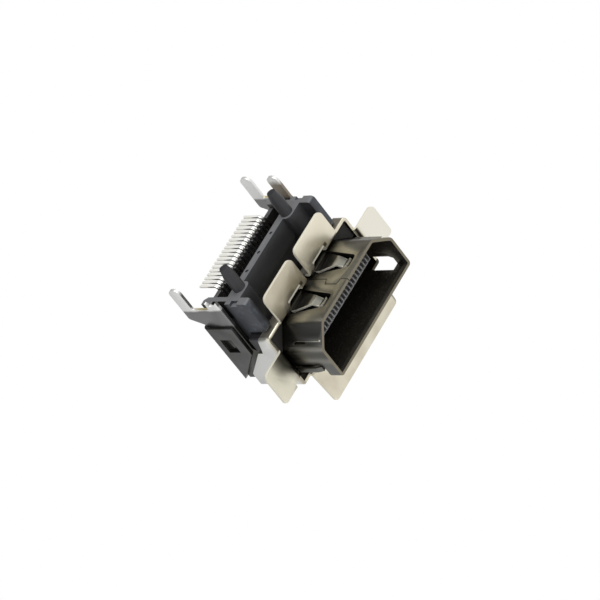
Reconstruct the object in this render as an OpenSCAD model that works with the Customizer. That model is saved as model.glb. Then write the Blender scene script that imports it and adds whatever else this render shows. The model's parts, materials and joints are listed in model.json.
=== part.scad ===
// Raised right-angle HDMI socket for a circuit board, a pulled part with one leg snapped off.
// X runs along the mouth, the mouth faces -Y and Z rises from the board, whose top is Z = 0.
// The origin lies midway between the two locating pegs.

/* [Mouth] */
// Outer width of the mouth's wide side
mouth_w = 14.5; // [14:0.1:15.5]
// Outer height of the mouth
mouth_h = 5.6; // [5.2:0.1:6]
// Outer width of the mouth's narrow side
narrow_w = 10.4; // [9.6:0.1:11]
// Height of the upright short sides
side_h = 3.7; // [3.3:0.1:3.9]
// Height of the wide face above the board
mouth_top = 10.1; // [9.8:0.1:11]
// How far the mouth stands out in front of the pegs
mouth_reach = 7.75; // [7.35:0.05:8.75]
// Thickness of the shell's sheet
shell_sheet = 0.3; // [0.25:0.05:0.35]

/* [Springs] */
// Sideways place of the paired springs
spring_x = 2.5; // [2.2:0.1:2.8]
// Width of a spring's window at its root
window_w = 2.8; // [2.4:0.1:3]
// Width of a spring at its crest
spring_w = 1.1; // [0.9:0.1:1.4]
// How far a spring dips into the mouth
spring_dip = 0.45; // [0.3:0.05:0.6]
// Distance from the mouth's edge to a window
window_inset = 0.85; // [0.7:0.05:1.2]

/* [Legs] */
// Width of a leg
leg_w = 1.4; // [1.1:0.1:1.6]
// Length of the legs below the board's top
leg_reach = 2.7; // [1.8:0.1:3.2]
// Distance from the pegs back to the front legs
front_leg_y = 1.65; // [1.6:0.05:1.9]
// Distance from the pegs back to the rear legs
rear_leg_y = 5.3; // [5.2:0.05:5.8]
// What is left of the snapped leg below the board's top
stub_reach = 0.8; // [0.2:0.1:1.2]

/* [Flange collar] */
// Thickness of the collar's sheet
collar_sheet = 0.3; // [0.25:0.05:0.35]
// Distance from the mouth's edge back to the flange
flange_back = 4.55; // [4.2:0.05:5]
// Air between the mouth's short sides and the collar's sleeve
sleeve_air = 0.4; // [0.35:0.05:0.6]
// Air between the mouth's narrow side and the collar's sleeve
sleeve_drop = 0.25; // [0.15:0.05:0.4]
// Depth of the collar's sleeve behind the flange
sleeve_depth = 6.1; // [5.4:0.1:6.4]
// Width across both wings
wing_span = 22.3; // [20:0.1:24]
// Height of the upper edge of a wing below the wide face
wing_drop = 0.45; // [0.3:0.05:0.8]
// Height of a wing
wing_h = 3.9; // [3.5:0.1:4.3]
// Width of the upper flap at its free edge
flap_w = 12.8; // [11:0.1:13]
// How far the upper flap stands above the wide face
flap_rise = 4.6; // [3:0.1:5]
// Width across both lower tabs
tabs_w = 11.5; // [10.5:0.1:12]
// Height of the lower tabs' free edges above the board
tabs_z = 0.75; // [0.5:0.05:1.5]
// Slot between the lower tabs
tabs_slot = 0.75; // [0.5:0.05:1]

/* [Rear cover] */
// Thickness of the cover's sheet
cover_sheet = 0.3; // [0.25:0.05:0.3]
// Height of the cover's lower edge above the board
cover_z = 2.5; // [2.4:0.1:2.8]
// Distance from the pegs back to the cover's side flaps
cover_front = 1.05; // [1:0.05:1.2]
// Slant cut from the front upper corner of each side flap
flap_cut = 3.9; // [3.6:0.1:4.2]

/* [Housing] */
// Distance from the pegs back to the block's face
block_y = 0.25; // [0.1:0.05:0.4]
// Depth of the moulded rear block
block_d = 3.2; // [3:0.05:3.4]
// Depth of the plate that closes in the contacts
insulator_d = 1.2; // [1:0.05:1.4]
// Depth of the recess that the tails come down in
recess_h = 2.4; // [2.2:0.1:2.4]
// Thickness of the rib along the block's front
rib_t = 0.6; // [0.45:0.05:0.75]
// Depth of the comb that keeps the contacts' drops apart
comb_d = 0.5; // [0.4:0.05:0.7]
// Height of the comb's lower edge above the board
comb_z = 0.5; // [0.4:0.05:0.8]
// Thickness of the end walls in front of the rib
end_wall_t = 0.9; // [0.7:0.05:1]
// Width of the tongue
tongue_w = 9.9; // [9.7:0.1:10.6]
// Thickness of the tongue
tongue_t = 1.1; // [1:0.05:1.3]
// Height of the tongue's lower face above the mouth's narrow face
tongue_lift = 1.35; // [1.2:0.05:1.6]
// Distance from the mouth's edge to the tongue
tongue_inset = 1.4; // [1.1:0.1:1.8]
// Depth of the notches in the tongue's nose
nose_notch = 0.75; // [0.5:0.05:0.8]
// Distance between the two pegs
peg_spacing = 9.7; // [9:0.1:10]
// Diameter of a peg
peg_d = 1.3; // [1.2:0.05:1.5]
// Diameter of a peg's tip
peg_tip_d = 0.9; // [0.7:0.05:1.1]
// Length of the pegs below the board's top
peg_reach = 2.85; // [2:0.05:3.4]

/* [Contacts] */
// Pitch of the solder tails
pitch = 0.5; // [0.48:0.01:0.52]
// Width of a contact
contact_w = 0.28; // [0.22:0.01:0.3]
// Thickness of a contact
contact_t = 0.2; // [0.15:0.01:0.22]
// Distance from the pegs back to the tails' ends
tail_end = 5.65; // [5.3:0.05:6]
// How far the blades stand proud of the tongue
contact_proud = 0.05; // [0.02:0.01:0.1]
// Air beside a contact in its groove
contact_air = 0.03; // [0.02:0.01:0.05]

/* [Hidden] */
CONTACTS = 19;
$fn = 32;
skim = 0.02;
half_w = mouth_w / 2;
inner_w = half_w - shell_sheet;
mouth_y = -mouth_reach;
mouth_low = mouth_top - mouth_h;
side_low = mouth_top - side_h;
roof_low = mouth_top - shell_sheet;
tongue_low = mouth_low + tongue_lift;
tongue_high = tongue_low + tongue_t;
tongue_y = mouth_y + tongue_inset;
flange_y = mouth_y + flange_back;
sleeve_x = half_w + sleeve_air + collar_sheet;
sleeve_low = mouth_low - sleeve_drop - collar_sheet;
roof_air = 0.15;
sleeve_top = mouth_top + roof_air + collar_sheet;
sleeve_rear = flange_y + sleeve_depth;
sleeve_foot_r = 0.45;
sleeve_roof_r = 0.25;
side_foot = 1.8;
side_slant = 0.7;
side_rise = 2;
tail_air = 0.85;
wing_low_r = 0.65;
wing_top_r = 0.35;
wing_root = 0.95;
wing_notch = 0.35;
flap_flare = 0.3;
flap_r = 0.4;
tab_r = 0.6;
relief_w = 2.5;
relief_d = 0.9;
relief_drop = 0.4;
relief_r = 0.4;
bend_run = 1;
bend_r = 0.35;
cover_bend = 0.5;
edge_r = 0.35;
chamfer_r = 0.8;
window_y = mouth_y + window_inset;
spring_tip = window_y + 0.5;
cover_x = half_w + cover_sheet;
block_rear = block_y + block_d;
back_y = block_rear + insulator_d;
shell_rear = back_y - cover_bend;
cheek_w = 0.95;
cheek_x = inner_w - cheek_w;
cheek_spur = 0.4;
spur_w = 0.6;
comb_y = block_rear - comb_d;
chamfer_slope = unit([half_w - narrow_w / 2, side_low - mouth_low]);
chamfer_out = [chamfer_slope[1], -chamfer_slope[0]];
slit_inset = 2.2;
slit_l = 1.6;
slit_rise = 1.3;
slit_h = 0.22;
lip_inset = 0.35;
lip_run = 0.6;
lip_rise = 0.15;
saddle_air = 0.05;
boss_in = 0.85;
boss_front = -0.88;
boss_r = 0.6;
end_wall_proud = 0.05;
end_wall_rear = block_y + 0.35;
end_wall_lift = 0.3;
seam_gap = 0.08;
seam_x = -0.2;
lock_x = 0.45;
lock_inset = 1.1;
lock_l = 1.5;
side_bend = sleeve_air - saddle_air;
pit_places = [-2.2, 0.3, 2.7];
pit_r = 0.18;
pit_d = 0.15;
rib_proud = 0.25;

function contact_name(i) = str("contact_", i < 10 ? "0" : "", i);
function unit(v) = v / norm(v);
function left(v) = [-v[1], v[0]];
function turned(v, a) = [v[0] * cos(a) - v[1] * sin(a), v[0] * sin(a) + v[1] * cos(a)];

// The arc of radius r that rounds the corner p between the points a and b
function corner(a, p, b, r, n) =
    r <= 0 ? [p] :
    let (u = unit(a - p),
         v = unit(b - p),
         half = acos(u * v) / 2,
         centre = p + unit(u + v) * r / sin(half),
         start = p + u * r / tan(half) - centre,
         end = p + v * r / tan(half) - centre,
         turn = atan2(start[0] * end[1] - start[1] * end[0], start * end))
    [for (i = [0:n]) centre + turned(start, turn * i / n)];

// A closed outline whose corners are rounded by the given radii
function rounded(pts, radii, n = 4) =
    let (last = len(pts) - 1)
    [for (i = [0:last]) each corner(pts[i == 0 ? last : i - 1], pts[i], pts[i == last ? 0 : i + 1], radii[i], n)];

// An open path whose inner corners are rounded by one radius
function rounded_path(pts, r, n = 4) =
    [pts[0],
     for (i = [1:len(pts) - 2]) each corner(pts[i - 1], pts[i], pts[i + 1], r, n),
     pts[len(pts) - 1]];

function mitre(path, i) =
    let (before = left(unit(path[max(i, 1)] - path[max(i, 1) - 1])),
         after = left(unit(path[min(i, len(path) - 2) + 1] - path[min(i, len(path) - 2)])))
    (before + after) / (1 + before * after);

// The outline of a strip of thickness t that follows a path
function ribbon(path, t) =
    [for (i = [0:len(path) - 1]) path[i] + mitre(path, i) * t / 2,
     for (i = [len(path) - 1:-1:0]) path[i] - mitre(path, i) * t / 2];

function box_outline(x0, x1, y0, y1) = [[x0, y0], [x1, y0], [x1, y1], [x0, y1]];

// Extrudes an outline drawn in X and Z along Y
module along_y(y0, y1, outline) {
    translate([0, y1, 0]) rotate([90, 0, 0]) linear_extrude(height = y1 - y0) polygon(outline);
}

// Extrudes an outline drawn in Y and Z along X
module along_x(x0, x1, outline) {
    translate([x0, 0, 0]) rotate([90, 0, 90]) linear_extrude(height = x1 - x0) polygon(outline);
}

// Extrudes an outline drawn in X and Y along Z
module along_z(z0, z1, outline) {
    translate([0, 0, z0]) linear_extrude(height = z1 - z0) polygon(outline);
}

module block(x0, x1, y0, y1, z0, z1) {
    translate([x0, y0, z0]) cube([x1 - x0, y1 - y0, z1 - z0]);
}

// Repeats what it is given at both ends of the socket
module both_ends() {
    children();
    mirror([1, 0, 0]) children();
}

// The mouth's section, drawn in from its outer face by a wall thickness
function mouth_section(inset) =
    let (x = half_w - inset,
         low = mouth_low + inset,
         top = mouth_top - inset,
         foot = narrow_w / 2 - inset * (1 - chamfer_slope[0]) / chamfer_slope[1],
         knee = side_low + inset * (1 - chamfer_slope[1]) / chamfer_slope[0])
    rounded([[-foot, low], [foot, low], [x, knee], [x, top], [-x, top], [-x, knee]],
            [for (r = [chamfer_r, chamfer_r, chamfer_r, edge_r, edge_r, chamfer_r]) r - inset]);

// A leaf spring of the mouth: as wide as its window at the rear, set in, bowed back out to the face at its
// narrow crest, dipped and curled at its tip
spring_root = flange_y + 0.6;
spring_set = 0.25;
spring_crest = spring_tip + 1.3;
spring_trough = spring_tip + 0.55;
spring_root_w = window_w - 0.3;
spring_tip_w = spring_w - 0.3;

function spring_path(z) =
    rounded_path([[spring_root + skim, z],
                  [spring_root - 0.2, z],
                  [spring_root - 0.6, z + spring_set],
                  [spring_crest, z],
                  [spring_trough, z + spring_dip],
                  [spring_tip, z + spring_dip * 0.3]], 0.25);

function spring_outline() =
    let (half = [[spring_tip_w / 2, spring_tip - 0.5], [spring_w / 2, spring_crest],
                 [spring_root_w / 2, spring_root - 0.2], [spring_root_w / 2, spring_root + 1]])
    [each half, for (i = [len(half) - 1:-1:0]) [-half[i][0], half[i][1]]];

module paired_springs() {
    for (x = [-spring_x, spring_x])
        translate([x, 0, 0]) intersection() {
            along_x(-window_w / 2, window_w / 2,
                    ribbon(spring_path(mouth_low + shell_sheet / 2), shell_sheet * 0.8));
            along_z(mouth_low - 1, mouth_low + 1, spring_outline());
        }
}

window_taper = 0.6;
window_r = 0.4;

module paired_windows() {
    wide = window_w / 2;
    front = wide - window_taper;
    for (x = [-spring_x, spring_x])
        translate([x, 0, 0])
            along_z(mouth_low - 0.5, mouth_low + 0.5,
                    rounded([[-front, window_y], [front, window_y],
                             [wide, spring_root], [-wide, spring_root]], [window_r, window_r, 0, 0]));
}

// The window that breaks the edge between a short side and the wide side, with its own spring
side_window_z = mouth_top - 1.75;
side_window_y = mouth_y + 1.4;
side_window_r = 0.8;
side_window_in = 1.15;
side_root = flange_y + 1.5;
side_spring_z = side_window_z + 0.25;
side_spring_w = 0.55;
side_bow = sleeve_air - 0.1;

module side_window() {
    along_x(half_w - side_window_in, half_w + 0.5,
            rounded(box_outline(side_window_y, side_root, side_window_z, mouth_top + 0.5),
                    [side_window_r, 0.2, 0, 0]));
}

// The spring bows outwards between its root and its tip
module side_spring() {
    x = half_w - shell_sheet / 2;
    tip = side_window_y + 0.25;
    path = rounded_path([[x, side_root + skim], [x, side_root - 0.5], [x + side_bow, side_root - 1.3],
                         [x + side_bow, tip + 0.7], [x + side_bow * 0.4, tip]], 0.3);
    along_z(side_spring_z, side_spring_z + side_spring_w, ribbon(path, shell_sheet * 0.8));
}

// The seam where the rolled sheet's two edges lock into each other
module seam() {
    lock_y = mouth_y + lock_inset;
    slant = 0.15;
    path = [[seam_x, mouth_y - 1], [seam_x, lock_y - slant], [lock_x, lock_y], [lock_x, lock_y + lock_l],
            [seam_x, lock_y + lock_l + slant], [seam_x, flange_y + 1]];
    along_z(mouth_low - 0.5, mouth_low + 0.5, ribbon(path, seam_gap));
}

// The slit lanced in each chamfer, and the lip that it lifts
module chamfer_slit() {
    block(narrow_w / 2, half_w + 1, mouth_y + slit_inset, mouth_y + slit_inset + slit_l,
          mouth_low + slit_rise, mouth_low + slit_rise + slit_h);
}

module chamfer_lip() {
    edge = [narrow_w / 2, mouth_low] + chamfer_slope * slit_rise / chamfer_slope[1];
    start = edge - chamfer_slope * lip_run;
    along_y(mouth_y + lip_inset, mouth_y + slit_inset + slit_l,
            [start - chamfer_out * skim, edge - chamfer_out * skim, edge + chamfer_out * lip_rise, start]);
}

plate_front = cover_front - 0.15;
arm_low = 0.05;
arm_h = 1.25;
arm_high = cover_z - 0.25;
bend_rear = block_y + 1;
arm_rear = rear_leg_y + leg_w / 2;

// The side plate behind the mouth with the arm that carries the rear leg
function side_plate() =
    rounded([[block_y - skim, side_low + 0.3], [plate_front, side_low - 0.6], [plate_front, arm_low],
             [arm_rear, arm_low], [arm_rear, arm_low + arm_h], [back_y - 0.4, arm_high],
             [shell_rear, cover_z + 0.2], [shell_rear, mouth_top - edge_r],
             [block_y - skim, mouth_top - edge_r]],
            [0, 0.3, 0.2, 0, 0.3, 0, 0, 0, 0]);

function whole_leg(y) =
    let (w = leg_w / 2)
    rounded([[y - w, arm_low + 0.2], [y - w, -leg_reach], [y + w, -leg_reach], [y + w, arm_low + 0.2]],
            [0, w * 0.85, w * 0.85, 0]);

// What is left of a leg that broke off in the board, with a torn, hollow end
function snapped_leg(y) =
    let (w = leg_w / 2)
    [[y - w, arm_low + 0.2], [y - w, -stub_reach], [y - w * 0.6, -stub_reach * 0.75],
     [y - w * 0.1, -stub_reach * 0.4], [y + w * 0.5, -stub_reach * 0.55], [y + w * 0.8, -stub_reach * 0.9],
     [y + w, -stub_reach], [y + w, arm_low + 0.2]];

// One side of the shell behind the mouth, bent outwards by a given distance
module shell_side(front_leg, out) {
    x = half_w - shell_sheet / 2;
    sheet = [[x, block_y - 1], [x, block_y], [x + out, bend_rear], [x + out, arm_rear + 1]];
    intersection() {
        along_z(-leg_reach - 1, mouth_top, ribbon(sheet, shell_sheet));
        union() {
            along_x(inner_w - 1, half_w + 1, side_plate());
            along_x(inner_w - 1, half_w + 1, whole_leg(rear_leg_y));
            along_x(inner_w - 1, half_w + 1, front_leg);
        }
    }
    translate([out, 0, 0]) latch_bump();
}

latch_y = cover_front + 1.2;
latch_z = cover_z + 1.55;
latch_l = 1.5;
latch_h = 1.8;

// The lanced ramp on the side plate that the rear cover snaps over
module latch_bump() {
    along_z(latch_z, latch_z + latch_h * 0.6,
            [[half_w - skim, latch_y], [half_w + cover_sheet * 0.9, latch_y + 0.15],
             [half_w + cover_sheet * 0.9, latch_y + 0.35], [half_w - skim, latch_y + latch_l * 0.65]]);
}

module shell() {
    color("#6e6855") {
        difference() {
            along_y(mouth_y, block_y, mouth_section(0));
            along_y(mouth_y - 1, block_y + 1, mouth_section(shell_sheet));
            paired_windows();
            both_ends() side_window();
            both_ends() chamfer_slit();
            seam();
        }
        paired_springs();
        both_ends() side_spring();
        both_ends() chamfer_lip();
        difference() {
            along_y(block_y - skim, shell_rear, mouth_section(0));
            along_y(block_y - 1, back_y + 1, mouth_section(shell_sheet));
            block(-mouth_w, mouth_w, block_y - 1, back_y + 1, 0, mouth_top - edge_r - skim);
        }
        shell_side(snapped_leg(front_leg_y), side_bend);
        mirror([1, 0, 0]) shell_side(whole_leg(front_leg_y), 0);
    }
}

// A wall of the collar's sleeve that bends outwards into a flap: rear end, wall height, free end
function bent_flap(rear, wall, free) =
    rounded_path([[rear, wall], [flange_y + collar_sheet / 2, wall], [flange_y + collar_sheet / 2, free]], bend_r);

// The sleeve's side seen from the end, with a slanted tail that stays clear of the rear cover's flaps
function side_wall() =
    let (step_z = sleeve_low + side_rise,
         tail = cover_front - tail_air - mouth_top + flap_cut)
    rounded([[flange_y + bend_r, sleeve_low], [flange_y + side_foot, sleeve_low],
             [flange_y + side_foot + side_slant, step_z], [step_z + tail, step_z],
             [sleeve_rear, sleeve_rear - tail], [sleeve_rear, sleeve_top], [flange_y + bend_r, sleeve_top]],
            [0.2, 0.25, 0.15, 0.2, 0.5, 0.15, 0]);

// The rear part of the sleeve's section: a flat-sided ring with rounded upper corners
function sleeve_section(inset) =
    rounded(box_outline(-sleeve_x + inset, sleeve_x - inset, sleeve_low + inset, sleeve_top - inset),
            [for (r = [sleeve_foot_r, sleeve_foot_r, sleeve_roof_r, sleeve_roof_r]) r - inset]);

module sleeve() {
    intersection() {
        difference() {
            along_y(flange_y + bend_r, sleeve_rear, sleeve_section(0));
            along_y(flange_y, sleeve_rear + 1, sleeve_section(collar_sheet));
        }
        along_x(-sleeve_x - 1, sleeve_x + 1, side_wall());
    }
}

module upper_flap() {
    free = mouth_top + flap_rise;
    tip = flap_w / 2;
    root = tip + flap_flare;
    intersection() {
        along_x(-root, root,
                ribbon(bent_flap(flange_y + bend_run, sleeve_top - collar_sheet / 2, free), collar_sheet));
        along_y(flange_y, flange_y + bend_run,
                rounded([[-root, mouth_top], [root, mouth_top], [tip, free], [-tip, free]],
                        [0, 0, flap_r, flap_r]));
    }
}

module lower_tab() {
    x0 = tabs_slot / 2;
    x1 = tabs_w / 2;
    difference() {
        intersection() {
            along_x(x0, x1, ribbon(bent_flap(flange_y + bend_run, sleeve_low + collar_sheet / 2, tabs_z),
                                   collar_sheet));
            along_y(flange_y, flange_y + bend_run,
                    rounded(box_outline(x0, x1, tabs_z, mouth_low), [tab_r, tab_r, 0, 0]));
        }
        spring_relief();
    }
}

// The cut-out in the sleeve's lower bend that clears a spring's root
module spring_relief() {
    along_y(flange_y - skim, flange_y + relief_d,
            rounded(box_outline(spring_x - relief_w / 2, spring_x + relief_w / 2,
                                sleeve_low - relief_drop, mouth_low),
                    [relief_r, relief_r, 0, 0]));
}

module wing() {
    z1 = mouth_top - wing_drop;
    z0 = z1 - wing_h;
    x = sleeve_x - collar_sheet / 2;
    y = flange_y + collar_sheet / 2;
    path = rounded_path([[x, flange_y + bend_run], [x, y], [wing_span / 2, y]], bend_r);
    intersection() {
        along_z(z0, z1, ribbon(path, collar_sheet));
        along_y(flange_y, flange_y + bend_run,
                rounded([[0, z0], [wing_span / 2, z0], [wing_span / 2, z1], [sleeve_x + wing_root, z1],
                         [sleeve_x + wing_root, z1 - wing_notch], [0, z1 - wing_notch]],
                        [0, wing_low_r, wing_top_r, 0, wing_notch / 2, 0]));
    }
}

module flange_collar() {
    color("#c8c0aa") {
        difference() {
            sleeve();
            block(-tabs_slot / 2, tabs_slot / 2, flange_y, sleeve_rear, sleeve_low - skim, mouth_low);
            both_ends() spring_relief();
        }
        upper_flap();
        both_ends() lower_tab();
        both_ends() wing();
    }
}

module cover_flap_cut() {
    along_x(half_w - 1, cover_x + 1,
            [[cover_front - 1, mouth_top - flap_cut - 1], [cover_front + flap_cut + 1, mouth_top + 1],
             [cover_front - 1, mouth_top + 1]]);
    block(half_w - 1, cover_x + 1, latch_y, latch_y + latch_l, latch_z, latch_z + latch_h);
}

module rear_cover() {
    x = half_w + cover_sheet / 2;
    y = back_y + cover_sheet / 2;
    band = rounded_path([[x + side_bend, cover_front], [x + side_bend, y], [-x, y], [-x, cover_front]],
                        cover_bend);
    roof = rounded_path([[sleeve_rear + 0.15, mouth_top + cover_sheet / 2], [y, mouth_top + cover_sheet / 2],
                         [y, mouth_top - 1]], bend_r);
    color("#6a6b69") {
        difference() {
            along_z(cover_z, mouth_top - 0.2, ribbon(band, cover_sheet));
            both_ends() cover_flap_cut();
        }
        along_x(-half_w + 0.9, half_w - 0.9, ribbon(roof, cover_sheet));
    }
}

// A contact: blade on the tongue, run through the block, drop behind it and solder tail
function contact_path(i) =
    let (drop = block_rear - contact_t / 2,
         low = contact_t / 2)
    rounded_path([[tongue_y + blade_inset, blade_z(i)], [drop, blade_z(i)], [drop, low],
                  [tail_end, low]], 0.35);

function on_wide_side(i) = i % 2 == 1;
function contact_x(i) = (i - (CONTACTS + 1) / 2) * pitch;
function blade_z(i) =
    let (sunk = contact_t / 2 - contact_proud)
    on_wide_side(i) ? tongue_high - sunk : tongue_low + sunk;

blade_inset = 0.35;

module contact(i, air = 0) {
    w = contact_w / 2 + air;
    along_x(contact_x(i) - w, contact_x(i) + w, ribbon(contact_path(i), contact_t));
}

// The groove that a contact is pressed into, open at the tongue's nose and through the comb
module contact_groove(i) {
    w = contact_w / 2 + contact_air;
    floor_z = blade_z(i) + (on_wide_side(i) ? -1 : 1) * contact_t / 2;
    open_z = floor_z + (on_wide_side(i) ? 1 : -1);
    contact(i, contact_air);
    block(contact_x(i) - w, contact_x(i) + w, comb_y - skim, block_rear + skim, comb_z - skim, recess_h);
    block(contact_x(i) - w, contact_x(i) + w, tongue_y - skim, tongue_y + blade_inset, tongue_low - skim,
          tongue_low + nose_notch);
    block(contact_x(i) - w, contact_x(i) + w, tongue_y - 1, tongue_y + blade_inset + skim,
          min(floor_z, open_z), max(floor_z, open_z));
}

module peg() {
    taper = 1;
    r = peg_d / 2;
    translate([peg_spacing / 2, 0, -peg_reach])
        rotate_extrude()
            polygon([[0, 0], [peg_tip_d / 2, 0], [r, taper], [r, peg_reach + skim], [0, peg_reach + skim]]);
}

// The block that carries a peg, between the rib and the end wall
module peg_boss() {
    x0 = peg_spacing / 2 - boss_in;
    x1 = inner_w - end_wall_t / 2;
    along_z(0, mouth_low - 0.1, rounded(box_outline(x0, x1, boss_front, block_y + skim), [boss_r, 0, 0, 0]));
}

// The wall that closes each end of the gap behind the flange, raised off the board behind the boss's front
module end_wall() {
    y = flange_y + 1;
    x = inner_w + end_wall_proud;
    along_x(x - end_wall_t, x,
            rounded([[y, 0], [boss_front, 0], [boss_front, end_wall_lift], [end_wall_rear, end_wall_lift],
                     [end_wall_rear, sleeve_low], [y, sleeve_low]], [0.35, 0, 0, 0.15, 0.15, 0.3]));
}

// The wedge under each chamfer of the mouth that the shell rests on
module saddle() {
    low = sleeve_low + collar_sheet + saddle_air;
    x = half_w + sleeve_air - saddle_air;
    clear = chamfer_out * saddle_air;
    foot = [narrow_w / 2, mouth_low] + clear;
    knee = [half_w, side_low] + clear;
    reach = chamfer_slope / chamfer_slope[1] * (low - foot[1]);
    along_y(flange_y + 0.6, block_y + skim,
            rounded([foot + reach, [x, low], [x, knee[1]], knee], [0, 0.2, 0, 0]));
}

// Each end of the recess, flared out behind the block towards the rear leg
module cheek() {
    block(cheek_x, inner_w, block_y, block_rear, 0, recess_h + skim);
    along_z(0, recess_h, [[cheek_x, block_rear - skim], [inner_w, block_rear - skim],
                          [inner_w - saddle_air, block_rear + cheek_spur],
                          [inner_w - spur_w, block_rear + cheek_spur]]);
}

module housing() {
    color("#2b2b2d") {
        difference() {
            union() {
                along_y(block_y, block_rear, rounded(box_outline(-inner_w, inner_w, recess_h, roof_low),
                                                     [0, 0, edge_r - shell_sheet, edge_r - shell_sheet]));
                block(-inner_w, inner_w, block_y - rib_proud, block_y + rib_t, 0, recess_h + skim);
                both_ends() cheek();
                block(-cheek_x - skim, cheek_x + skim, comb_y, block_rear, comb_z, recess_h + skim);
                tongue();
                both_ends() end_wall();
                both_ends() saddle();
                both_ends() peg_boss();
            }
            for (i = [1:CONTACTS]) contact_groove(i);
            rib_pits();
            both_ends() leg_pocket();
        }
        both_ends() peg();
    }
}

// The hollow in each cheek that leaves room for solder round a front leg
module leg_pocket() {
    depth = 0.4;
    block(inner_w - depth, inner_w + 1, end_wall_rear + 0.1, front_leg_y + leg_w / 2 + 0.15, -1, recess_h);
}

module tongue() {
    x = tongue_w / 2;
    nose = 0.3;
    intersection() {
        along_x(-x, x, [[tongue_y + nose, tongue_low], [block_y + skim, tongue_low],
                        [block_y + skim, tongue_high], [tongue_y + nose, tongue_high],
                        [tongue_y, tongue_high - nose], [tongue_y, tongue_low + nose]]);
        along_z(tongue_low, tongue_high,
                rounded(box_outline(-x, x, tongue_y, block_y + 1), [0.4, 0.4, 0, 0]));
    }
}

// Ejector marks in the rib's board face
module rib_pits() {
    for (x = pit_places)
        translate([x, block_y + (rib_t - rib_proud) / 2, -1]) cylinder(r = pit_r, h = 1 + pit_d);
}

// The moulded plate that closes the contacts in behind the block
module rear_insulator() {
    x = inner_w - 0.7;
    color("#232325")
        along_z(cover_z, roof_low - 0.6,
                rounded(box_outline(-x, x, block_rear, back_y), [0, 0, 0.3, 0.3]));
}

module one_contact(i) {
    color("#e8e4d4") contact(i);
}

housing();
rear_insulator();
for (i = [1:CONTACTS]) one_contact(i);
shell();
flange_collar();
rear_cover();
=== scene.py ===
import json
import math

import bpy
from mathutils import Matrix, Vector

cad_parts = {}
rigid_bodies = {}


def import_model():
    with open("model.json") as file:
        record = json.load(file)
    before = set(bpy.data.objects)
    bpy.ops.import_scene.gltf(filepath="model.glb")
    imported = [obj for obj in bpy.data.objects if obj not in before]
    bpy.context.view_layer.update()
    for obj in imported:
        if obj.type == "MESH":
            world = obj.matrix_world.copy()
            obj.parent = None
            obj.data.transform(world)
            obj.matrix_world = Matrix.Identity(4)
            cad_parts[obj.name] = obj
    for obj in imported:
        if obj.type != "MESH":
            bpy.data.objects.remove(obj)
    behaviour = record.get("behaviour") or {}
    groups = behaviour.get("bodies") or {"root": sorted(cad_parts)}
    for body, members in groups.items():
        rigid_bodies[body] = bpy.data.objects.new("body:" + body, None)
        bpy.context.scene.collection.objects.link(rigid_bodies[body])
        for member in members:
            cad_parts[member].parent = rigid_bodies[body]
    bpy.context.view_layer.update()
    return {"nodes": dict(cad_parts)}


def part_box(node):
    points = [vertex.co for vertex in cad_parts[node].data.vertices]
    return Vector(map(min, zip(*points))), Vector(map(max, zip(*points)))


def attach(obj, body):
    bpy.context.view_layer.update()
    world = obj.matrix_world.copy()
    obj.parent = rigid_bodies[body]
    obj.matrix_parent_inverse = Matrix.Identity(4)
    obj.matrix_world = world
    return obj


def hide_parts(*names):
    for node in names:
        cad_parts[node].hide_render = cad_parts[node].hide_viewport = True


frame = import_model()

# Housing: one black glass-filled moulding with the tongue, the rib that sits on the board, the end walls
# and the two locating pegs. The mould leaves soft edges, a fine skin and pale fibre ends.
mm = 0.001
mould_edge = 0.05 * mm
weld_gap = 0.002 * mm
flat_angle = math.radians(0.5)
sharp_angle = math.radians(32)
smooth_angle = math.radians(35)
mould_black = (0.021, 0.021, 0.023, 1)
mould_sheen_and_tone = (0.040, 0.046, 0.058, 1)
mould_sheen_patch = (0.10, 0.115, 0.14, 1)
board_haze_and_light = (0.165, 0.167, 0.173, 1)
recess_painted_shade = (0.008, 0.007, 0.006, 1)
nose_grey = (0.24, 0.242, 0.24, 1)
slot_grey = (0.090, 0.090, 0.090, 1)
fibre_grey = (0.12, 0.12, 0.12, 1)
nose_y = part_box("housing")[0][1] / mm
nose_z = 6.3
nose_half = 0.85
block_y = -2.3
throat_z = 3.9
end_wall_x = 6.2
end_wall_y = 0.5
rib_y = 0.75
rib_z = 0.6
comb_z = 2.45


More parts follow.
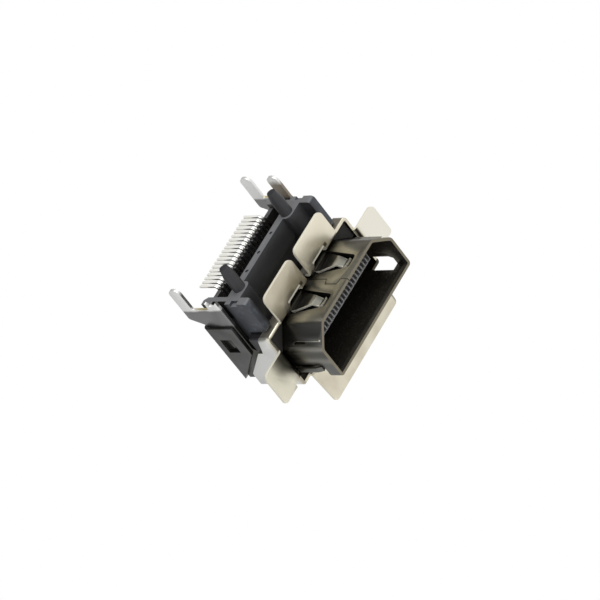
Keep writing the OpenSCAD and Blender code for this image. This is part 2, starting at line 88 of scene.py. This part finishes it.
class Value:
    """An output in a node tree that takes part in sums as a number does."""

    def __init__(self, tree, output=None):
        self.tree = tree
        self.output = output

    def add(self, kind, settings=None, sockets=None, out=0):
        """Adds a node, with its settings first and then the values or links of its sockets."""
        made = self.tree.nodes.new("ShaderNode" + kind)
        for name, setting in (settings or {}).items():
            setattr(made, name, setting)
        for name, given in (sockets or {}).items():
            if isinstance(given, Value):
                self.tree.links.new(given.output, made.inputs[name])
            else:
                made.inputs[name].default_value = given
        return Value(self.tree, made.outputs[out]) if made.outputs else None

    def sum_node(self, operation, first, second):
        return self.add("Math", {"operation": operation}, {0: first, 1: second})

    def __add__(self, other):
        return self.sum_node("ADD", self, other)

    def __radd__(self, other):
        return self.sum_node("ADD", other, self)

    def __sub__(self, other):
        return self.sum_node("SUBTRACT", self, other)

    def __rsub__(self, other):
        return self.sum_node("SUBTRACT", other, self)

    def __mul__(self, other):
        return self.sum_node("MULTIPLY", self, other)

    def __rmul__(self, other):
        return self.sum_node("MULTIPLY", other, self)

    def __abs__(self):
        return self.sum_node("ABSOLUTE", self, 0)

    def band(self, low, high):
        """Runs from 0 at low to 1 at high and stays at both beyond them."""
        return self.add("MapRange", {}, {"Value": self, "From Min": low, "From Max": high})

    def past(self, edge, fade):
        """0 up to an edge, and 1 once this is past it by the fade."""
        return self.band(edge, edge + fade)

    def before(self, edge, fade):
        """0 from an edge on, and 1 while this is short of it by the fade."""
        return self.band(edge, edge - fade)

    def clipped(self):
        """This value, kept from 0 to 1."""
        return self.band(0, 1)

    def mixed(self, first, second):
        """A colour that turns from first to second as this value goes from 0 to 1."""
        return self.add("Mix", {"data_type": "RGBA"}, {0: self, 6: first, 7: second}, 2)

    def clouds(self, scale, detail):
        """Noise at this place, with scale in features per millimetre."""
        return self.add("TexNoise", {}, {"Vector": self, "Scale": scale, "Detail": detail})

    def axes(self):
        """The three parts of this vector."""
        parts = self.tree.nodes.new("ShaderNodeSeparateXYZ")
        self.tree.links.new(self.output, parts.inputs[0])
        return [Value(self.tree, part) for part in parts.outputs]


def start_finish(name):
    """A new material, its empty tree, the place on a piece in millimetres and the way a face looks."""
    finish = bpy.data.materials.new(name)
    finish.use_nodes = True
    finish.node_tree.nodes.clear()
    tree = Value(finish.node_tree)
    where = tree.add("TexCoord", out=3)
    place = tree.add("Mapping", {}, {"Vector": where, "Scale": (1 / mm, 1 / mm, 1 / mm)})
    facing = tree.add("TexCoord", out=1)
    return finish, tree, place, facing


def close_finish(tree, sockets, height, relief):
    """Ends a material in one Principled shader, with its relief in millimetres."""
    sockets["Normal"] = tree.add("Bump", {}, {"Height": height, "Strength": 0.6, "Distance": relief * mm})
    shader = tree.add("BsdfPrincipled", {}, sockets)
    tree.add("OutputMaterial", {}, {"Surface": shader})


def moulded_black(name):
    """Black moulding, with painted sheen on its ends, haze and painted light on its board faces and painted
    shade where deep.
    """
    finish, tree, place, facing = start_finish(name)
    x, y, z = place.axes()
    across, _, up = facing.axes()
    flow = place.clouds(0.7, 3.0)
    skin = place.clouds(16.0, 2.0)
    fibres = place.clouds(9.0, 4.0).band(0.66, 0.74)
    # Painted sheen: the ends get a bluish tone, and patches of it, that stand in for the light they reflect.
    ends = abs(x).past(end_wall_x, 0.3) * y.before(end_wall_y, 0.3) * z.before(throat_z + 0.1, 0.1)
    sheen_patches = place.clouds(1.5, 5.0).band(0.5, 0.68) * ends
    # Painted shade deep in the mouth and in the recess behind the rib.
    deep = y.before(block_y, 0.2) * z.past(throat_z, 0.1)
    # Board faces painted lighter: partly a matte haze, partly painted light from below.
    board = up.before(-0.5, 0.4) * z.before(rib_z, 0.15) * z.past(-0.2, 0.1)
    recess = y.past(rib_y, 0.15) * z.before(comb_z, 0.15) * (1 - board)
    # Painted light: the slots at the nose and the bars between them are lighter grey than the moulding.
    slots = deep * y.before(nose_y + 0.45, 0.05) * abs(z - nose_z).before(nose_half, 0.1)
    bars = slots * y.before(nose_y + 0.29, 0.06) * abs(across).before(0.8, 0.3)
    base = (ends * 0.8 + flow * 0.2).mixed(mould_black, mould_sheen_and_tone)
    base = (sheen_patches * 0.6).mixed(base, mould_sheen_patch)
    base = board.mixed(base, board_haze_and_light)
    base = (deep + recess).mixed(base, recess_painted_shade)
    base = slots.mixed(base, slot_grey)
    base = bars.mixed(base, nose_grey)
    close_finish(tree, {"Base Color": (fibres * 0.35 * (1 - deep)).mixed(base, fibre_grey),
                        "Roughness": 0.36 + flow * 0.22 + deep * 0.3,
                        "IOR": 1.52}, skin, 0.02)
    return finish


def broken_edges(node, edge):
    """A copy of a CAD node, merged, with its sharp edges rounded off as tools leave them."""
    bpy.ops.object.select_all(action="DESELECT")
    source = frame["nodes"][node]
    source.select_set(True)
    bpy.context.view_layer.objects.active = source
    bpy.ops.object.duplicate()
    piece = bpy.context.object
    piece.name = node + "_finished"
    bpy.ops.object.parent_clear(type="CLEAR_KEEP_TRANSFORM")
    bpy.ops.object.mode_set(mode="EDIT")
    bpy.ops.mesh.select_all(action="SELECT")
    bpy.ops.mesh.remove_doubles(threshold=weld_gap)
    bpy.ops.mesh.dissolve_limited(angle_limit=flat_angle)
    bpy.ops.object.mode_set(mode="OBJECT")
    rounding = piece.modifiers.new("rounding", "BEVEL")
    rounding.width = edge
    rounding.segments = 2
    rounding.limit_method = "ANGLE"
    rounding.angle_limit = sharp_angle
    bpy.ops.object.modifier_apply(modifier=rounding.name)
    bpy.ops.object.shade_smooth_by_angle(angle=smooth_angle)
    return piece


def fit(piece, node, finish):
    """Gives a piece its finish and puts it in the place of its CAD node."""
    piece.data.materials.clear()
    piece.data.materials.append(finish)
    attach(piece, "root")
    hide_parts(node)


black = moulded_black("black_moulding")
housing = broken_edges("housing", mould_edge)
fit(housing, "housing", black)

# Contacts: nineteen stamped copper-alloy strips, pressed into the housing on both sides of its tongue.
# They are tinned to be soldered. The tails came off a board, so their tin is uneven and a little dull.
strip_edge = 0.025 * mm
tin_bright = (0.97, 0.965, 0.92, 1)
tin_dull = (0.93, 0.92, 0.85, 1)
strip_cut = (0.95, 0.92, 0.82, 1)
strip_painted_shade = (0.050, 0.048, 0.044, 1)
blade_end_y = -0.4
drop_y = 3.4
tail_y = 4.1


def tinned_strip(name):
    """Uneven tin on drops and tails, with painted shade on the blades and on the cut edges except on the
    tails.
    """
    finish, tree, place, facing = start_finish(name)
    y = place.axes()[1]
    across = facing.axes()[0]
    blobs = place.clouds(2.4, 3.0)
    face = blobs.band(0.35, 0.75).mixed(tin_bright, tin_dull)
    # Painted shade on the cut edges short of the tails, and on the blades.
    cut = y.past(tail_y, 0.6).mixed(strip_painted_shade, strip_cut)
    strip = (abs(across).past(0.5, 0.3) * 0.9).mixed(face, cut)
    close_finish(tree, {"Base Color": y.past(blade_end_y, 0.6).mixed(strip_painted_shade, strip),
                        "Roughness": 0.24 + blobs * 0.22,
                        "Metallic": 1 - y.past(drop_y, 0.4) * 0.85}, blobs, 0.05)
    return finish


tinned = tinned_strip("tinned_contact")
contact_names = sorted(name for name in frame["nodes"] if name.startswith("contact_"))
for contact_name in contact_names:
    contact = broken_edges(contact_name, strip_edge)
    fit(contact, contact_name, tinned)

# Rear insulator: a plain plate moulded in the same black plastic, which stands behind the housing's block.
# It closes the contacts in, and the rear cover holds it there.
insulator = broken_edges("rear_insulator", mould_edge)
fit(insulator, "rear_insulator", black)

# Shell: one stamped and rolled sheet of copper alloy under dark nickel, with its springs, seam, side plates
# and legs. Its inside has painted shade and gritty specks, the sheared edges of its springs a painted
# highlight, and solder still coats the legs. The leaves of the springs and one corner of each of their
# windows are bent out a little.
sheet_edge = 0.05 * mm
nickel_dark = (0.268, 0.255, 0.204, 1)
nickel_wear_and_sheen = (0.42, 0.398, 0.332, 1)
nickel_cool = (0.148, 0.148, 0.140, 1)
nickel_grey = (0.215, 0.218, 0.214, 1)
inside_painted_shade = (0.035, 0.032, 0.026, 1)
inside_grit = (0.16, 0.145, 0.11, 1)
nickel_painted_shade = (0.055, 0.053, 0.046, 1)
leaf_crest = (0.12, 0.117, 0.10, 1)
leaf_bow = (0.34, 0.335, 0.30, 1)
leaf_root = (0.014, 0.013, 0.011, 1)
painted_edge_highlight = (0.93, 0.90, 0.78, 1)
rim_cut = (0.200, 0.180, 0.135, 1)
flux_gold = (0.70, 0.60, 0.30, 1)
flux_brown = (0.25, 0.215, 0.17, 1)
solder_pale = (0.86, 0.86, 0.845, 1)
mouth_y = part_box("shell")[0][1] / mm
mouth_z = 7.3
face_z = 4.5
flange_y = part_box("flange_collar")[0][1] / mm
spring_x = 2.5
crest_y = mouth_y + 2.65
leaf_tip_y = crest_y - 1.3
leaf_half = 0.60
leaf_taper = 0.304
leaf_lift = 0.15 * mm
window_half = 1.4
window_back_y = flange_y + 0.6
window_flare = 0.4 * mm
side_lip_x = 5.6
side_lip_z = 5.66
cover_foot_z = 2.35
solder_top_z = 0.55
near_end_x = 3.2
near_leg_x = 6.0
far_leg_x = -6.8
front_legs_end_y = 2.5
flux_z = -1.75
leg_tip_z = -2.4


def rolling_marks(tree, place, scale):
    """Fine streaks along the way that a sheet was rolled."""
    return tree.add("Mapping", {}, {"Vector": place, "Scale": scale}).clouds(1.0, 3.0)


def from_spring(x):
    """How far a place is from the middle of the spring on its own half of the shell."""
    return x + spring_x - x.band(-0.1, 0.1) * (2 * spring_x)


def spring_edges(x, y, z, across):
    """The sheared edges of the springs and their windows that look towards +X."""
    beside = from_spring(x)
    edges = beside.past(0.2, 0.1) * beside.before(1.6, 0.2) * across.past(0.4, 0.3)
    return edges * z.before(face_z + 0.9, 0.1) * y.past(leaf_tip_y, 0.1) * y.before(flange_y + 0.5, 0.1)


def with_springs(plate, x, y, up):
    """The plate with its two leaves, a painted highlight on the bow, a darker tip and painted shade towards
    the root.
    """
    leaf = (abs(abs(x) - spring_x) - (y - crest_y) * leaf_taper).before(leaf_half + 0.04, 0.04)
    leaf = leaf * up.before(-0.2, 0.3) * y.past(leaf_tip_y, 0.05) * y.before(flange_y + 0.5, 0.1)
    # Painted highlight on the bow and painted shade towards the root of each leaf.
    shade = y.past(crest_y - 0.15, 0.2).mixed(leaf_crest, leaf_bow)
    shade = y.past(crest_y + 0.3, 0.25).mixed(shade, nickel_painted_shade)
    shade = y.past(flange_y - 0.15, 0.15).mixed(shade, leaf_root)
    return leaf.mixed(plate, shade)


def with_bends(plate, x, y, z, across):
    """The plate with painted reflections on the bends of its short sides, and a painted highlight on the lip
    of the window in each.
    """
    # Painted reflections: a dark band along each bend and light bands on either side of it.
    dark = z.past(mouth_z - 0.8, 0.3) * z.before(mouth_z + 0.3, 0.4) * abs(across).past(0.7, 0.2)
    lower = z.past(mouth_z - 1.35, 0.2) * z.before(mouth_z - 0.7, 0.25)
    upper = z.past(mouth_z + 0.2, 0.3) * z.before(mouth_z + 1.1, 0.4)
    lip = z.past(side_lip_z, 0.04) * z.before(side_lip_z + 0.16, 0.04) * abs(x).past(side_lip_x, 0.2)
    lip = lip * y.past(mouth_y + 0.2, 0.05) * y.before(flange_y - 0.95, 0.05) * (across * x).past(0.3, 0.3)
    plate = ((lower + upper) * abs(across).past(0.4, 0.2) * 0.3).mixed(plate, nickel_wear_and_sheen)
    plate = (dark * 0.55).mixed(plate, nickel_painted_shade)
    return (lip * 0.85).mixed(plate, painted_edge_highlight)


def leg_solder(tarnish, x, y, z, along, up):
    """Pale solder, brown flux on the far front leg, painted shade on the near front edges, golden flux under
    the side plates."""
    flux = x.before(far_leg_x, 0.1) * y.before(front_legs_end_y + 0.3, 0.4)
    flux = flux * (z + tarnish).past(flux_z, 0.6)
    # Painted shade on the front edges of the near legs.
    edge = x.past(near_leg_x, 0.2) * along.before(-0.4, 0.4)
    edge = edge * z.past(leg_tip_z, 0.5) * z.before(-0.1, 0.2)
    gold = up.before(-0.5, 0.3) * z.past(-0.25, 0.15) * y.past(front_legs_end_y, 0.2)
    solder = flux.mixed(solder_pale, flux_brown)
    solder = (edge * 0.85).mixed(solder, nickel_painted_shade)
    return (gold * tarnish.band(0.35, 0.5) * 0.9).mixed(solder, flux_gold)


def dark_nickel(name):
    """Dark nickel, greyer with painted shade on the short sides, greyer at the rim, painted shade by the
    flange, tinned legs.
    """
    finish, tree, place, facing = start_finish(name)
    x, y, z = place.axes()
    across, along, up = facing.axes()
    tarnish = place.clouds(0.55, 4.0)
    specks = place.clouds(11.0, 3.0)
    grit = place.clouds(7.0, 4.0)
    rolled = rolling_marks(tree, place, (6.0, 0.6, 6.0))
    rim = (y + tarnish * 0.3).before(mouth_y + 0.5, 0.35)
    front_cut = y.before(mouth_y + 0.12, 0.08) * along.before(-0.75, 0.2)
    near_end = x.past(near_end_x, 1.8) * up.before(-0.7, 0.2)
    sheared_edges = spring_edges(x, y, z, across)
    # Painted shade on the faces that look into the mouth, with gritty specks in it.
    inwards = (across * x + up * (z - mouth_z)).before(-0.3, 0.9) * y.past(mouth_y + 0.1, 0.5)
    inwards = inwards * (1 - sheared_edges)
    rear = y.past(flange_y + 2.0, 2.0)
    tin = (z + tarnish * 0.5).before(solder_top_z, 0.25)
    inside = (grit.band(0.56, 0.72) * 0.8).mixed(inside_painted_shade, inside_grit)
    # Painted shade under the rear cover, above its foot.
    covered = (z.past(cover_foot_z, 0.35) * 0.9).mixed(nickel_grey, nickel_painted_shade)
    worn = tarnish.band(0.45, 0.75) * 0.45 + specks.band(0.45, 0.75) * 0.25
    plate = worn.mixed(nickel_dark, nickel_wear_and_sheen)
    # Painted shade: the short sides are greyer and darker, the rim a little greyer.
    plate = abs(across).past(0.2, 0.4).mixed(plate, nickel_cool)
    plate = (rim * 0.35).mixed(plate, nickel_cool)
    # Painted shade towards the flange, and on the narrow face at the near end.
    plate = (y.past(flange_y - 2.0, 1.8) * 0.8).mixed(plate, nickel_painted_shade)
    plate = (near_end * 0.35).mixed(plate, nickel_painted_shade)
    plate = with_springs(plate, x, y, up)
    # Painted highlight on the sheared edges, which are also less metallic.
    plate = (sheared_edges * 0.8).mixed(plate, painted_edge_highlight)
    plate = with_bends(plate, x, y, z, across)
    plate = front_cut.mixed(plate, rim_cut)
    plate = inwards.mixed(plate, inside)
    plate = rear.mixed(plate, covered)
    solder = leg_solder(tarnish, x, y, z, along, up)
    close_finish(tree, {"Base Color": tin.mixed(plate, solder),
                        "Roughness": 0.27 + rolled * 0.12 + tin * 0.08,
                        "Metallic": 1 - tin * 0.4 - inwards * 0.5 - sheared_edges * 0.9}, rolled, 0.01)
    return finish


def push(piece, chosen, step):
    """Moves those points of a piece that chosen picks by their place in millimetres."""
    bpy.ops.object.mode_set(mode="EDIT")
    bpy.ops.mesh.select_mode(type="VERT")
    bpy.ops.mesh.select_all(action="DESELECT")
    bpy.ops.object.mode_set(mode="OBJECT")
    for point in piece.data.vertices:
        point.select = chosen(*(point.co / mm))
    bpy.ops.object.mode_set(mode="EDIT")
    bpy.ops.transform.translate(value=step)
    bpy.ops.object.mode_set(mode="OBJECT")


def on_leaf(x, y, z):
    """Whether a place is on the bowed part of a spring's leaf."""
    half = leaf_half + max(y - crest_y, 0) * leaf_taper
    lengthwise = mouth_y < y < flange_y + 0.1
    return lengthwise and abs(abs(x) - spring_x) < half and face_z + 0.02 < z < mouth_z - 1


def on_window_corner(x, y, z):
    """Whether a place is at the rear corner of a spring's window, on its +X side."""
    beside = x - math.copysign(spring_x, x)
    at_corner = abs(beside - window_half) < 0.1 and abs(y - window_back_y) < 0.15
    return at_corner and face_z - 0.1 < z < face_z + 0.4


shell = broken_edges("shell", sheet_edge)
push(shell, on_leaf, (0, 0, -leaf_lift))
push(shell, on_window_corner, (window_flare, 0, 0))
fit(shell, "shell", dark_nickel("dark_nickel"))

# Flange collar: one thin sheet folded to a sleeve, with flaps turned out all round to bear on a case.
# It is plated in warm satin nickel, and the sheared edges of the flaps carry a painted highlight.
nickel_warm = (0.69, 0.65, 0.53, 1)
nickel_haze_and_shade = (0.54, 0.49, 0.38, 1)
nickel_pale = (0.78, 0.785, 0.76, 1)
far_wing_painted_light = (0.80, 0.775, 0.68, 1)
wing_warm = (0.68, 0.65, 0.53, 1)
wing_painted_shade = (0.13, 0.125, 0.10, 1)
far_tab_painted_light = (0.84, 0.785, 0.64, 1)
sleeve_painted_shade = (0.06, 0.052, 0.038, 1)
sheared = (0.90, 0.87, 0.73, 1)
relief_z = 3.55
relief_half = 1.25
relief_shadow_from = -1.62
relief_shadow_to = -1.0
tab_top_z = 4.5
wing_x = 8.0
wing_root_x = 7.5
wing_shade_top_z = 8.8
sleeve_top_z = 10.0
far_corner_from = -8.2
far_corner_to = -6.2


def shade_on_wing(x, z):
    """Painted shade, a dark reflection that covers the root of the near wing and thins out towards its tip.
    """
    spread = x.before(wing_x + 2.2, 1.3) * z.before(wing_shade_top_z, 1.8) * 0.75
    root = x.before(wing_x + 0.9, 1.0) * 0.7
    return x.past(wing_root_x, 0.1) * (spread + root).clipped()


def warm_nickel(name):
    """Warm satin nickel with painted highlights on the sheared edges, paler on the sleeve, painted shade on
    the near wing.
    """
    finish, tree, place, facing = start_finish(name)
    x, y, z = place.axes()
    across, along, up = facing.axes()
    outwards = across * x
    beside = from_spring(x)
    haze = place.clouds(0.35, 3.0)
    rolled = rolling_marks(tree, place, (0.8, 4.0, 8.0))
    flaps = y.before(flange_y + 0.45, 0.15)
    tabs = flaps * z.before(tab_top_z, 0.3)
    wings = flaps * abs(x).past(wing_x, 0.4)
    slots = y.before(flange_y + 0.9, 0.2) * z.before(tab_top_z + 0.1, 0.2) * abs(across).past(0.4, 0.3)
    # Painted shadow in each relief, at one end of its tab.
    relief_shadows = flaps * beside.past(relief_shadow_from, 0.17) * beside.before(relief_shadow_to, 0.15)
    relief_shadows = relief_shadows * z.past(relief_z - 0.30, 0.12) * z.before(relief_z + 0.25, 0.15)
    # Painted highlight along the cut edge of each relief.
    cuts = flaps * abs(abs(x) - spring_x).before(relief_half, 0.1) * (1 - relief_shadows)
    cuts = cuts * z.past(relief_z - 0.20, 0.04) * z.before(relief_z + 0.06, 0.04)
    # Painted shade at the far corner of the sleeve's roof, where no highlight is painted.
    corners = x.past(far_corner_from, 0.2) * x.before(far_corner_to, 0.3) * z.past(sleeve_top_z, 0.15)
    corners = corners * up.before(0.6, 0.4) * outwards.before(5.0, 3.0)
    edges = (flaps + slots).clipped() * abs(along).before(0.7, 0.4)
    inwards = outwards.before(-1.0, 2.0) * y.past(flange_y - 0.1, 0.1) * (1 - edges)
    rims = edges * (1 - corners)
    # Painted highlight on the sheared edges and the relief cuts, which are less metallic.
    bright = (rims * 0.7 + cuts).clipped()
    plate = haze.band(0.35, 0.7).mixed(nickel_warm, nickel_haze_and_shade)
    plate = (y.past(flange_y + 0.4, 0.5) * abs(across)).mixed(plate, nickel_pale)
    # Painted light: the far wing is paler than the near one.
    plate = wings.mixed(plate, x.band(-1.0, 1.0).mixed(far_wing_painted_light, wing_warm))
    # Painted shade on the root of the near wing.
    plate = (flaps * shade_on_wing(x, z)).mixed(plate, wing_painted_shade)
    # Painted shade on the near tab, painted light on the far tab.
    plate = (tabs * x.past(-0.5, 3.0) * 0.5).mixed(plate, nickel_haze_and_shade)
    plate = (tabs * x.before(0.5, 3.5) * 0.7).mixed(plate, far_tab_painted_light)
    # Painted shade inside the sleeve, at the far corner of its roof and in the reliefs.
    plate = (inwards + corners + relief_shadows * 0.85).clipped().mixed(plate, sleeve_painted_shade)
    close_finish(tree, {"Base Color": bright.mixed(plate, sheared),
                        "Roughness": 0.30 + rolled * 0.10 + rims * 0.3,
                        "Metallic": 1 - bright}, rolled, 0.008)
    return finish


collar = broken_edges("flange_collar", sheet_edge)
fit(collar, "flange_collar", warm_nickel("warm_nickel"))

# Rear cover: one stamped sheet, plated in grey nickel and bent round the back of the socket.
# The windows in its side flaps snap over the latch bumps of the shell.
cover_grey = (0.100, 0.100, 0.098, 1)
cover_light = (0.135, 0.138, 0.134, 1)


def grey_nickel(name):
    """Grey satin nickel with a faint haze and upright rolling marks."""
    finish, tree, place, _ = start_finish(name)
    haze = place.clouds(0.6, 4.0)
    rolled = rolling_marks(tree, place, (8.0, 8.0, 0.8))
    close_finish(tree, {"Base Color": haze.band(0.3, 0.75).mixed(cover_grey, cover_light),
                        "Roughness": 0.36 + rolled * 0.12,
                        "Metallic": 1.0}, rolled, 0.01)
    return finish


cover = broken_edges("rear_cover", sheet_edge)
fit(cover, "rear_cover", grey_nickel("grey_nickel"))

# Light and camera: a white surround as in a light tent, with one dark side behind and below the part that
# gives the metal its contrast. Soft lamps stand on three sides, and a long lens looks up at the solder side.
ambient = 0.64
dark_side = (0.0, 0.76, -0.65)
dark_depth = 0.78
back_depth = 0.35
ray_names = ("Is Camera Ray", "Is Glossy Ray", "Is Transmission Ray")
aim = Vector((1.94, -2.42, 5.05)) * mm
azimuth = math.radians(34.42)
elevation = math.radians(-31.96)
roll = math.radians(141.48)
camera_distance = 374.6 * mm

world = bpy.data.worlds.new("surround")
bpy.context.scene.world = world
world.use_nodes = True
world.node_tree.nodes.clear()
surround = Value(world.node_tree)
light_path = world.node_tree.nodes.new("ShaderNodeLightPath")
rays = [Value(world.node_tree, light_path.outputs[name]) for name in ray_names]
camera_ray, glossy_ray, glass_ray = rays
sky = surround.add("TexCoord", out=0)
towards = surround.add("VectorMath", {"operation": "DOT_PRODUCT"}, {0: sky, 1: dark_side}, 1)
behind = sky.axes()[1]
shade = (1 - towards.band(0.35, 0.72) * dark_depth) * (1 - behind.band(0.2, 0.75) * back_depth)
white_rays = (camera_ray + glossy_ray + glass_ray).clipped()
strength = ambient + white_rays * (1 - ambient) - (1 - shade) * glossy_ray
backdrop = surround.add("Background", {}, {"Color": (1, 1, 1, 1), "Strength": strength})
surround.add("OutputWorld", {}, {"Surface": backdrop})


def soft_lamp(name, direction, distance, size, power):
    """A square lamp that stands off in a direction and looks back at the part."""
    bpy.ops.object.light_add(type="AREA", location=aim + Vector(direction).normalized() * distance)
    lamp = bpy.context.object
    lamp.name = name
    lamp.data.size = size
    lamp.data.energy = power
    lamp.rotation_euler = Vector(direction).to_track_quat("Z", "Y").to_euler()


soft_lamp("key_lamp", direction=(-0.25, -0.2, -1.0), distance=0.25, size=0.22, power=0.31)
soft_lamp("side_lamp", direction=(0.9, 0.3, -0.35), distance=0.30, size=0.22, power=0.05)
soft_lamp("top_lamp", direction=(0.1, -0.3, 1.0), distance=0.35, size=0.30, power=0.25)

level = math.cos(elevation)
away = Vector((math.sin(azimuth) * level, -math.cos(azimuth) * level, math.sin(elevation)))
bpy.ops.object.camera_add(location=aim + away * camera_distance)
camera = bpy.context.object
turned = away.to_track_quat("Z", "Y").to_matrix() @ Matrix.Rotation(roll, 3, "Z")
camera.rotation_euler = turned.to_euler()
camera.data.sensor_width = 36
camera.data.lens = 235.66
camera.data.clip_start = 0.01
bpy.context.scene.camera = camera
bpy.context.scene.view_settings.view_transform = "Standard"
